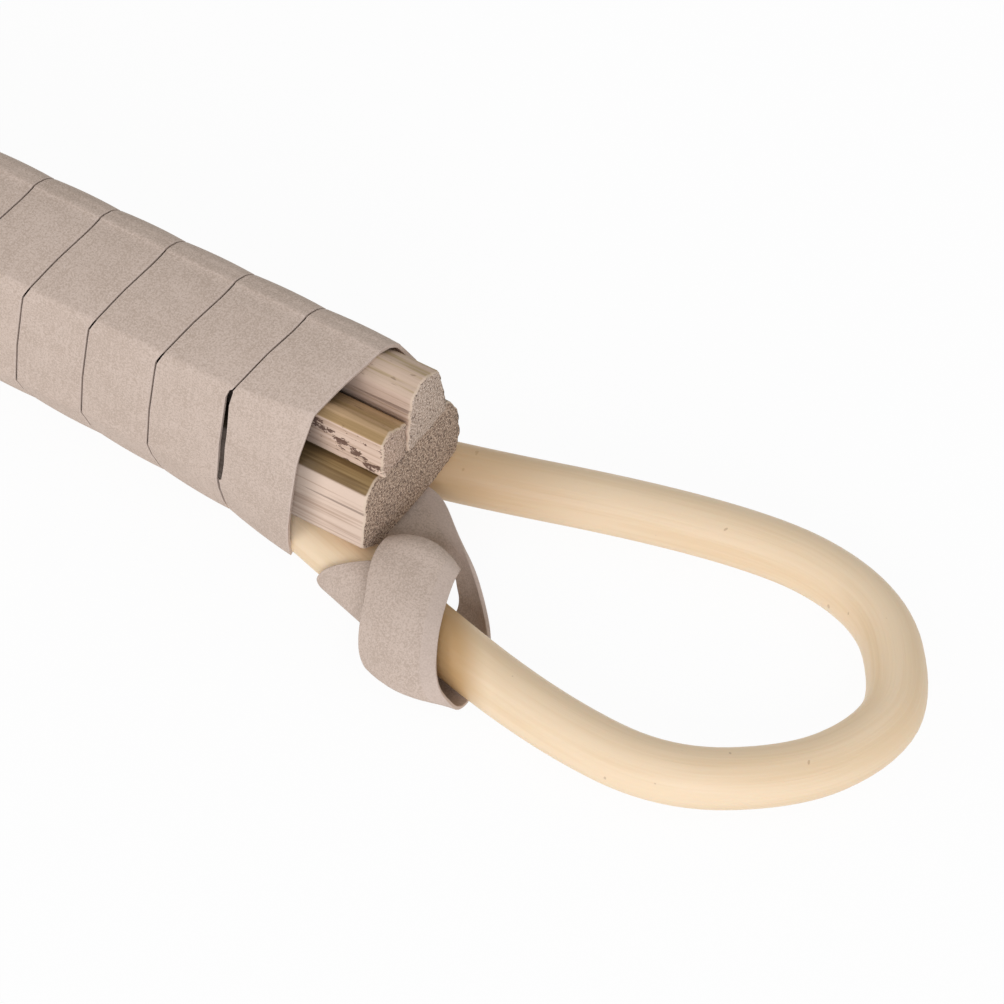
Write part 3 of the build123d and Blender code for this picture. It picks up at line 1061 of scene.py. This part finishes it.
@dataclass
class WoundTape:
    """A flat tape wound edge to edge round the handle, its turns a hair apart.

    A place round the handle is counted in degrees wound from start_degrees on.
    """

    section: HandleSection
    name: str
    node: str
    end_x: float
    pitches: Sequence[float]
    lead: float = 0.0
    clearance: float = 0.12
    slack: float = 0.62
    slack_degrees: float = 50.0
    foot: float = 0.65
    foot_degrees: float = 219.0
    foot_from: float = 291.0
    foot_to: float = 303.0
    thickness: float = 0.42
    seam: float = 0.18
    crown: float = 0.12
    across: int = 6
    step_degrees: int = 6
    start_degrees: int = 289
    normals: Sequence[float] = (270, 232, 205, 180, 165, 140, 112, 90, 75, 50, 24, 0, -25, -52)
    advances: Sequence[float] = (0.12, 0.08, 0.03, 0.10, 0.09, 0.02, 0.22, 0.03, 0.03, 0.04, 0.11,
                                 0.03, 0.03, 0.07)
    open_seams: dict[int, float] = field(default_factory=dict)
    open_heights: Sequence[float] = (5.0, 9.0, 12.5, 19.0)
    open_foot: float = 0.15
    width: float = 8.0
    pace: float = 1.2
    ahead: float = 0.3

    def __post_init__(self) -> None:
        """Start with no ring of the tape's inner face worked out."""
        self.rings = {}

    def skin(self, x: float, degrees: float) -> Vector:
        """The tape's inner face, slacker over the top at the back and, near the loop, low at the front.

        Args:
            x: The station.
            degrees: The direction, counted from the back over the top.

        Returns:
            The point (y, z).
        """
        slack = self.slack * max(0.0, math.cos(math.radians(degrees - self.slack_degrees))) ** 6
        foot = eased(x, self.foot_from, self.foot_to, 0.0, self.foot)
        slack += foot * max(0.0, math.cos(math.radians(degrees - self.foot_degrees))) ** 6
        return self.section.skin_point(x, degrees, self.clearance + slack)

    def ring(self, x: int) -> list[Vector]:
        """The inner face at a whole station, one point for each step wound.

        Args:
            x: The station.

        Returns:
            The points (y, z).
        """
        if x not in self.rings:
            steps = range(0, 361, self.step_degrees)
            self.rings[x] = [self.skin(x, self.start_degrees - wound) for wound in steps]
        return self.rings[x]

    def bend_point(self, x: float, wound: float) -> Vector:
        """The inner face's point (y, z) at a station, so many degrees wound.

        Args:
            x: The station.
            wound: The degrees wound.

        Returns:
            The point.
        """
        low = math.floor(x)
        step = min(int(wound / self.step_degrees), 360 // self.step_degrees - 1)
        share = wound / self.step_degrees - step
        ends = [ring[step].lerp(ring[step + 1], share) for ring in (self.ring(low), self.ring(low + 1))]
        return ends[0].lerp(ends[1], x - low)

    def outline(self, x: float) -> list[tuple[Vector, float]]:
        """The many-sided outline of the handle that sets the tape's slant on each side.

        Args:
            x: The station.

        Returns:
            Its corners, each with the share of a turn's advance that is reached there.
        """
        lines = []
        for degrees in self.normals:
            angle = math.radians(degrees)
            out = Vector((math.cos(angle), math.sin(angle)))
            lines.append((out, self.skin(x, degrees).dot(out)))
        corners = []
        reached = 0.0
        before = lines[-1]
        for line, advance in zip(lines, self.advances):
            (a, reach_a), (b, reach_b) = before, line
            cross = a.x * b.y - a.y * b.x
            corners.append((Vector(((reach_a * b.y - a.y * reach_b) / cross,
                                    (a.x * reach_b - reach_a * b.x) / cross)), reached))
            reached += advance
            before = line
        return corners + [(corners[0][0], reached)]

    def turn(self, x: float) -> list[tuple[float, float]]:
        """One turn's places, from the bottom edge at the back round the front and the top.

        Args:
            x: The station.

        Returns:
            Each place in degrees wound, with the share of the turn's advance that is reached there.
        """
        outline = self.outline(x)
        places = []
        for wound in range(0, 360, self.step_degrees):
            width = (self.bend_point(x, wound + self.step_degrees) - self.bend_point(x, wound)).length
            steps = max(1, round(width / self.pace))
            places += [wound + self.step_degrees * step / steps for step in range(steps)]
        turn = []
        reached = 0.0
        for wound in places:
            point = self.bend_point(x, wound)
            found = []
            for (a, low), (b, high) in zip(outline, outline[1:]):
                if reached - TINY <= high and low <= reached + self.ahead:
                    t = min(max((point - a).dot(b - a) / max((b - a).length_squared, TINY ** 2), 0.0), 1.0)
                    found.append(((a + (b - a) * t - point).length, low + (high - low) * t))
            reached = max(reached, min(found)[1])
            turn.append((wound, reached))
        return turn + [(360.0, 1.0)]

    def stations(self) -> list[Triple]:
        """The tape's right edge: the degrees wound, the station and the turn reached.

        Returns:
            The three values for each step along the tape.
        """
        stations = []
        x = self.end_x - sum(self.pitches)
        for number, pitch in reversed(list(enumerate(self.pitches))):
            turn = self.turn(x + pitch / 2)
            for wound, share in turn[(0 if not stations else 1):]:
                stations.append((wound, x + pitch * share, number + 1 - wound / 360))
            x += pitch
        for wound, share in self.turn(x)[1:] if self.lead else []:
            if share > self.lead:
                break
            stations.append((wound, x + share * self.pitches[0], -wound / 360))
        return stations

    def left_edge(self, turn: float, right: float, rights: list[tuple[float, float]], z: float) -> float:
        """The left edge's station: the right edge of the turn before it, and the seam.

        Args:
            turn: The turn reached.
            right: The right edge's station there.
            rights: The whole right edge, as turns reached and stations.
            z: How high the edge lies.

        Returns:
            The station.
        """
        gap = self.seam
        number = math.ceil(turn) - 1
        if number in self.open_seams:
            foot, full, fading, closed = self.open_heights
            share = eased(z, foot, full, self.open_foot, 1.0) * eased(z, fading, closed, 1.0, 0.0)
            gap += self.open_seams[number] * share
        low, high = 0, len(rights) - 1
        while high - low > 1:
            middle = (low + high) // 2
            low, high = (middle, high) if rights[middle][0] > turn + 1 else (low, middle)
        (turn_a, x_a), (turn_b, x_b) = rights[low], rights[high]
        share = (turn + 1 - turn_a) / (turn_b - turn_a) if turn_b != turn_a else 0.0
        if turn + 1 > rights[0][0]:
            return right - self.pitches[-1] + gap
        return x_a + (x_b - x_a) * share + gap

    def build(self, finish: Material) -> list[Piece]:
        """Wind the tape.

        Args:
            finish: The tape's material.

        Returns:
            The piece.
        """
        stations = self.stations()
        rights = [(turn, x) for _, x, turn in stations]
        line = [self.bend_point(x, wound) for wound, x, _ in stations]
        rows = []
        for number, (wound, right, turn) in enumerate(stations):
            way = line_way(line, number).normalized()
            left = self.left_edge(turn, right, rights, line[number].y)
            ends = Vector((left, *self.bend_point(left, wound))), Vector((right, *line[number]))
            rows.append((*ends, Vector((0.0, -way.y, way.x))))

        def place(first: int, second: int) -> Vector:
            """A point of the tape's inner face.

            Args:
                first: The step along.
                second: The step across.

            Returns:
                The point, in metres.
            """
            left, right, out = rows[first]
            share = second / self.across
            return (left.lerp(right, share) + out * (self.crown * (1 - (2 * share - 1) ** 2))) * MM
        lengths = [total * MM for total in distances([right for _, right, _ in rows])]
        widths = [self.width * MM * step / self.across for step in range(self.across + 1)]
        piece = bent_grid(self.name, len(rows) - 1, self.across, place, lengths, widths)
        thicken(piece, self.thickness, 1.0)
        return [dress(piece, finish, "tape", self.node)]


@dataclass
class Wraps:
    """The grip's tape, whose last turns widen towards the loop, and the neck's even one."""

    section: HandleSection
    grip_end_x: float = 304.0
    grip_pitches: Sequence[float] = (8.6, 8.2, 8.1, 7.65, 7.7) + (7.961,) * 19
    grip_lead: float = 0.1
    last_seam: float = 0.5
    neck_end_x: float = 112.45
    neck_turns: int = 24
    neck_clearance: float = 0.2

    def build(self, finish: Material) -> list[Piece]:
        """Wind both tapes.

        Args:
            finish: The tape's material.

        Returns:
            The pieces.
        """
        neck_pitches = (self.section.beater.tape_pitch,) * self.neck_turns
        grip = WoundTape(self.section, "grip_tape", "grip_wrap", self.grip_end_x, self.grip_pitches,
                         lead=self.grip_lead, open_seams={0: self.last_seam})
        neck = WoundTape(self.section, "neck_tape", "neck_wrap", self.neck_end_x, neck_pitches,
                         clearance=self.neck_clearance)
        return grip.build(finish) + neck.build(finish)


@dataclass
class LegTail:
    """The tape's tail: out from under the core, loosely round the near leg, and tucked tight."""

    loop: HangingLoop
    tape_width: float = 9.6
    thickness: float = 0.42
    steps: int = 6
    across: int = 10
    # Each edge along the leg, away from the other leg and up, then how far the middle bulges
    edges: Sequence[tuple] = (
        (-8.0, 2.7, 2.2, -4.8, 11.0, 2.2, 0.0), (-6.6, 2.5, 2.2, -1.8, 11.0, 2.2, 0.0),
        (-4.0, 3.4, 1.8, 2.1, 9.4, 2.2, 0.3), (1.9, 8.2, -1.6, 6.55, 7.75, 1.2, 0.5),
        (4.6, 7.8, -3.2, 10.2, 6.15, -0.6, 0.5), (6.4, 6.0, -3.55, 12.25, 5.0, -2.3, 0.2),
        (6.6, 4.2, -3.6, 13.8, 3.3, -3.45, 0.0), (6.4, 2.4, -3.6, 14.7, 1.3, -3.55, 0.0),
        (6.2, 0.4, -3.6, 15.5, -0.1, -3.5, 0.0), (6.5, -2.0, -3.6, 16.0, -1.5, -3.45, 0.0),
        (7.0, -4.4, -3.5, 16.3, -2.8, -2.6, 0.3), (6.9, -5.9, -2.9, 16.1, -3.8, -1.0, 0.9),
        (6.2, -6.3, -1.4, 15.3, -4.2, 0.2, 0.9), (5.6, -6.1, 0.4, 14.3, -3.9, 1.4, 0.7),
        (4.95, -5.4, 2.2, 13.3, -3.1, 2.6, 0.6), (3.9, -4.0, 3.8, 11.9, -1.6, 3.8, 0.7),
        (2.5, -2.4, 4.9, 10.4, 0.4, 4.6, 0.9), (1.4, -0.6, 5.5, 9.0, 2.6, 5.2, 1.1),
        (1.0, 1.2, 5.8, 8.0, 4.3, 5.0, 1.3), (0.7, 2.9, 4.2, 6.4, 4.8, 2.6, 0.9),
        (-0.5, 3.7, 0.6, 4.6, 3.9, -0.2, 0.2), (-1.8, 2.8, -2.3, 3.9, 2.8, -2.3, 0.0),
        (-1.9, 1.3, -3.3, 3.8, 1.3, -3.3, 0.0), (-2.1, -0.1, -3.5, 4.4, -0.1, -3.5, 0.0),
        (-2.6, -1.65, -3.15, 5.1, -1.65, -3.15, 0.0), (-3.1, -2.95, -2.1, 5.8, -2.95, -2.1, 0.0),
        (-3.5, -3.55, -0.5, 6.1, -3.55, -0.6, 0.0), (-2.6, -3.2, 1.4, 6.5, -3.4, 1.1, 0.0),
        (-1.3, -2.4, 2.6, 7.2, -2.6, 2.4, 0.0), (0.4, -0.9, 3.4, 7.4, -1.2, 3.4, 0.0),
        (1.9, 0.6, 3.5, 7.6, 0.4, 3.5, 0.0),
    )

    def build(self, finish: Material) -> list[Piece]:
        """Bend the tail round the leg.

        Args:
            finish: The tape's material.

        Returns:
            The piece.
        """
        origin, way, side = self.loop.near_leg()
        lefts = wave_line([Vector(row[:3]) for row in self.edges], self.steps)
        rights = wave_line([Vector(row[3:6]) for row in self.edges], self.steps)
        bulges = wave_line([Vector((row[6], 0.0, 0.0)) for row in self.edges], self.steps)
        line = [(left + right) / 2 for left, right in zip(lefts, rights)]
        last = len(line) - 1

        def place(first: int, second: int) -> Vector:
            """A point of the tail.

            Args:
                first: The step along.
                second: The step across.

            Returns:
                The point, in metres.
            """
            share = second / self.across
            out = (rights[first] - lefts[first]).cross(line_way(line, first)).normalized()
            bulge = out * (bulges[first].x * (1 - (2 * share - 1) ** 2))
            spot = lefts[first].lerp(rights[first], share) + bulge
            return (origin + way * spot.x + side * spot.y + UP * spot.z) * MM
        lengths = [total * MM for total in distances(line)]
        widths = [self.tape_width * MM * step / self.across for step in range(self.across + 1)]
        piece = bent_grid("leg_tail_tape", last, self.across, place, lengths, widths)
        thicken(piece, self.thickness, 0.0)
        return [dress(piece, finish, "tape", "leg_tail")]


def thicken(piece: Piece, thickness: float, offset: float) -> None:
    """Give a strip its thickness and soft long edges.

    Args:
        piece: The strip.
        thickness: In millimetres.
        offset: 1 grows it along its normals, and 0 both ways alike.
    """
    wall = piece.modifiers.new("wall", "SOLIDIFY")
    wall.thickness = thickness * MM
    wall.offset = offset
    wall.use_even_offset = True
    wall.use_quality_normals = True
    edge = piece.modifiers.new("edge", "BEVEL")
    edge.width = EDGE_SHARE * thickness * MM
    edge.segments = 2
    edge.limit_method = "ANGLE"
    edge.angle_limit = math.radians(EDGE_DEGREES)
    edge.harden_normals = True


def dress(piece: Piece, finish: Material, slot: str, node: str) -> Piece:
    """Give a new piece its material and its place in the part.

    Args:
        piece: The piece.
        finish: Its material.
        slot: The record's material slot for the piece; not used.
        node: The solid that it stands for.

    Returns:
        The piece.
    """
    piece.data.materials.append(finish)
    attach(piece, "root")
    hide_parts(node)
    return piece


def paint(node: str, finish: Material) -> Piece:
    """Give a solid that stays its finished material.

    Args:
        node: The solid's name.
        finish: Its material.

    Returns:
        The solid's object.
    """
    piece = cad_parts[node]
    piece.data.materials.clear()
    piece.data.materials.append(finish)
    return piece


@dataclass
class SplitStick:
    """A split stick of one outline, grooved along its fibres and ragged at its sawn end."""

    node: str
    slot: str
    outline: Sequence[tuple[float, float]]
    low_x: float
    high_x: float
    seed: float
    groove: float = 0.09
    ragged: float = 0.16
    pace: float = 0.3
    eased: int = 3
    nose_length: float = 0.0
    nose_share: float = 0.5
    plain_steps: int = 6
    fine_length: float = 14.0
    fine_steps: int = 20
    fine_pace: float = 0.7
    rim: Sequence[tuple[float, float]] = ((0.35, 0.0), (0.12, 0.08), (0.0, 0.25))
    fibre_scale: tuple[float, float] = (0.02, 1.7)
    coarse_scale: tuple[float, float] = (0.05, 0.5)
    ragged_scale: float = 1.3
    bias: float = 0.6

    def skin(self) -> list[tuple[Vector, Vector]]:
        """Points (y, z) round the outline with its corners eased, each with its outward way.

        Returns:
            The points and their ways.
        """
        corners = [Vector(corner) for corner in self.outline]
        points = []
        for start, end in zip(corners, corners[1:] + corners[:1]):
            steps = max(1, round((end - start).length / self.pace))
            points += [start.lerp(end, step / steps) for step in range(steps)]
        for _ in range(self.eased):
            points = [(a + b * 2 + c) / 4 for a, b, c in
                      zip(points[-1:] + points[:-1], points, points[1:] + points[:1])]
        skin = []
        for before, here, after in zip(points[-1:] + points[:-1], points, points[1:] + points[:1]):
            way = (after - before).normalized()
            skin.append((here, Vector((-way.y, way.x))))
        return skin

    def stations(self) -> list[tuple[float, float]]:
        """Stations along the stick, each with how far its rim is drawn in.

        Returns:
            The stations and the insets.
        """
        plain = [self.low_x, self.low_x + max(self.nose_length, 1.0)]
        start = self.high_x - self.fine_length
        reach = start - plain[-1]
        plain += [plain[-1] + reach * step / self.plain_steps for step in range(1, self.plain_steps + 1)]
        plain += [start + self.fine_pace * step for step in range(1, self.fine_steps)]
        return [(x, 0.0) for x in plain] + [(self.high_x - back, inset) for back, inset in self.rim]

    def build(self, finish: Material) -> Piece:
        """Draw the stick out along the handle.

        Args:
            finish: Its material.

        Returns:
            The piece.
        """
        skin = self.skin()
        stations = self.stations()
        foot = min(point.y for point, _ in skin)

        def place(first: int, second: int) -> Vector:
            """A point of the stick's skin.

            Args:
                first: The step along.
                second: The step round the outline.

            Returns:
                The point, in metres.
            """
            x, inset = stations[first]
            point, out = skin[second % len(skin)]
            along, round_it = self.fibre_scale
            fibre = noise.noise(Vector((x * along, point.x * round_it + self.seed, point.y * round_it)))
            along, round_it = self.coarse_scale
            coarse = noise.noise(Vector((x * along, point.x * round_it - self.seed, point.y * round_it)))
            depth = inset + self.groove * (self.bias - fibre - self.bias * coarse)
            spot = point - out * depth
            if first >= len(stations) - len(self.rim):
                rag = noise.noise(Vector((self.seed, *(point * self.ragged_scale))))
                x += self.ragged * (rag - self.bias)
            nose = max(0.0, 1 - (x - self.low_x) / self.nose_length) if self.nose_length else 0.0
            share = 1 - nose * self.nose_share
            return Vector((x, spot.x * share, foot + (spot.y - foot) * share)) * MM
        lengths = [(x - self.low_x) * MM for x, _ in stations]
        widths = [self.pace * MM * step for step in range(len(skin) + 1)]
        piece = bent_grid(f"{self.node}_fibres", len(stations) - 1, len(skin), place, lengths, widths, True)
        return dress(piece, finish, self.slot, self.node)


@dataclass
class StickBundle:
    """The core and the two fillers on it."""

    section: HandleSection
    stick_step: float = 0.7
    nose_length: float = 22.0
    core: SplitFinish = SplitFinish(
        "core_rattan", side=tone(216, 193, 174), groove=tone(184, 158, 138), upper=tone(118, 93, 57),
        streak=tone(145, 119, 77), end=tone(216, 192, 170), end_dark=tone(116, 92, 74),
        pore=tone(88, 68, 56), pore_spacing=0.36, pore_size=0.40, face=Face.WAXY)
    top: SplitFinish = SplitFinish(
        "filler_rattan", side=tone(200, 175, 156), groove=tone(170, 144, 122), upper=tone(200, 176, 155),
        streak=tone(176, 153, 118), end=tone(222, 204, 188), end_dark=tone(142, 120, 103),
        pore=tone(104, 84, 72), pore_spacing=0.62, pore_size=0.27, shade_from=297.0, shade_to=304.0)
    side: SplitFinish = SplitFinish(
        "bark_rattan", side=tone(212, 186, 166), groove=tone(188, 160, 138), upper=tone(166, 136, 94),
        streak=tone(188, 156, 118), end=tone(220, 196, 178), end_dark=tone(140, 114, 95),
        pore=tone(104, 80, 66), pore_spacing=0.58, pore_size=0.27, face=Face.BARKED)

    def build(self) -> list[Piece]:
        """Build the three sticks.

        Returns:
            The pieces.
        """
        section = self.section
        b = section.beater
        low_x, high_x = b.top_tail_x + 1.0, b.core_end_x + self.stick_step
        core = SplitStick("core_stick", "core_rattan", section.core_outline, b.throat_x - self.nose_length,
                          b.core_end_x, 3.1, 0.06, 0.12, nose_length=self.nose_length)
        top = SplitStick("top_filler_stick", "filler_rattan", section.top_outline, low_x, high_x, 7.7, 0.10)
        side = SplitStick("side_filler_stick", "bark_rattan", section.side_outline, low_x, high_x, 12.4,
                          0.12, 0.35)
        return [core.build(self.core.build()), top.build(self.top.build()), side.build(self.side.build())]


@dataclass(frozen=True)
class Lamp:
    """One soft square lamp, in metres and watts."""

    name: str
    spot: Triple
    aim: Triple
    power: float
    colour: Triple
    size: float = 1.0

    def build(self) -> None:
        """Hang the lamp."""
        data = bpy.data.lights.new(self.name, "AREA")
        data.size = self.size
        data.energy = self.power
        data.color = self.colour
        lamp = added(self.name, data)
        lamp.location = self.spot
        lamp.rotation_euler = (Vector(self.aim) - Vector(self.spot)).to_track_quat("-Z", "Y").to_euler()


@dataclass
class Studio:
    """The white floor, the soft lamps and the camera, in millimetres and degrees."""

    aim: Vector = field(default_factory=lambda: Vector((311.5, 8.446, 3.9)))
    azimuth: float = 27.61
    elevation: float = 47.13
    roll: float = 4.9
    distance: float = 600.0
    lens: float = 218.1
    sensor: float = 36.0
    near: float = 10.0
    floor_half: float = 4000.0
    floor_gap: float = 0.05
    room_light: float = 0.62
    lamps: Sequence[Lamp] = (
        Lamp("front_lamp", (-0.7, -1.5, 0.9), (0.2, 0.0, 0.0), 5.0, (1.0, 0.98, 1.0)),
        Lamp("view_lamp", (1.2, -1.6, 0.75), (0.3, 0.0, 0.0), 16.0, (0.98, 0.98, 1.08)),
    )

    def camera(self) -> Piece:
        """Place the camera.

        Returns:
            The camera.
        """
        turn, rise, roll = (math.radians(value) for value in (self.azimuth, self.elevation, self.roll))
        back = Vector((math.sin(turn) * math.cos(rise), -math.cos(turn) * math.cos(rise), math.sin(rise)))
        flat = Vector((math.cos(turn), math.sin(turn), 0.0))
        upward = back.cross(flat)
        right = flat * math.cos(roll) + upward * math.sin(roll)
        upright = upward * math.cos(roll) - flat * math.sin(roll)
        data = bpy.data.cameras.new("photo_view")
        data.sensor_width = self.sensor
        data.sensor_fit = "HORIZONTAL"
        data.lens = self.lens
        data.clip_start = self.near * MM
        camera = added("photo_view", data)
        spot = (self.aim + back * self.distance) * MM
        camera.matrix_world = Matrix.Translation(spot) @ Matrix((right, upright, back)).transposed().to_4x4()
        bpy.context.scene.camera = camera
        return camera

    def floor(self) -> Piece:
        """Lay the white sheet that the beater lies on.

        Returns:
            The sheet.
        """
        mesh = bpy.data.meshes.new("studio_floor")
        bm = bmesh.new()
        bmesh.ops.create_grid(bm, x_segments=1, y_segments=1, size=self.floor_half * MM)
        bmesh.ops.translate(bm, verts=bm.verts, vec=(0.0, 0.0, -self.floor_gap * MM))
        bm.to_mesh(mesh)
        bm.free()
        floor = added("studio_floor", mesh)
        floor.data.materials.append(PaperFinish().build())
        floor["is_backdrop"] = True
        return floor

    def surroundings(self) -> None:
        """Make the even white room, whose light on the beater is less than what the camera sees."""
        world = bpy.data.worlds.new("studio_room")
        bpy.context.scene.world = world
        graph = Graph(world)
        path = graph.node("ShaderNodeLightPath").outputs
        seen = graph.math("MAXIMUM", path["Is Camera Ray"], path["Is Transmission Ray"])
        inputs = {"Value": seen, "To Min": self.room_light, "To Max": 1.0}
        strength = graph.node("ShaderNodeMapRange", inputs).outputs[0]
        white = graph.node("ShaderNodeBackground", {"Color": (1.0, 1.0, 1.0, 1.0), "Strength": strength})
        graph.node("ShaderNodeOutputWorld", {"Surface": white.outputs[0]})

    def build(self) -> None:
        """Set up the studio."""
        self.camera()
        self.floor()
        self.surroundings()
        for lamp in self.lamps:
            lamp.build()
        bpy.context.scene.view_settings.view_transform = "Standard"


def write_sizes() -> None:
    """Work out the box of the solids and that of the dressed part."""
    def plain(box: tuple) -> list[list[float]]:
        """A box as plain numbers."""
        return [[float(value) for value in corner] for corner in box]
    {"cad": plain(solids_box), "visual": plain(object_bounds())}


def main() -> None:
    """Build the beater's sub-assemblies in order, and report each piece."""
    logging.basicConfig(level=logging.INFO, format="%(name)s: %(message)s")
    beater = Beater()
    loop = HangingLoop(beater)
    section = HandleSection(beater, loop)
    tape = TapeFinish().build()
    pieces = WovenHead(beater).build(CaneFinish("woven_cane").build())
    # The loop's cane takes painted shade beside the handle.
    shaded_loop_cane = CaneFinish("loop_cane", first_joint=75.0, joint_spacing=250.0, paints_shade=True)
    pieces += loop.build(shaded_loop_cane.build())
    pieces += Wraps(section).build(tape) + LegTail(loop).build(tape)
    pieces += StickBundle(section).build()
    steel = NailFinish().build()
    pieces += [paint("neck_nails", steel), paint("loop_nails", steel)]
    Studio().build()
    for piece in pieces:
        log.info("%s has %d faces", piece.name, len(piece.data.polygons))
    write_sizes()


if __name__ == "__main__":
    main()
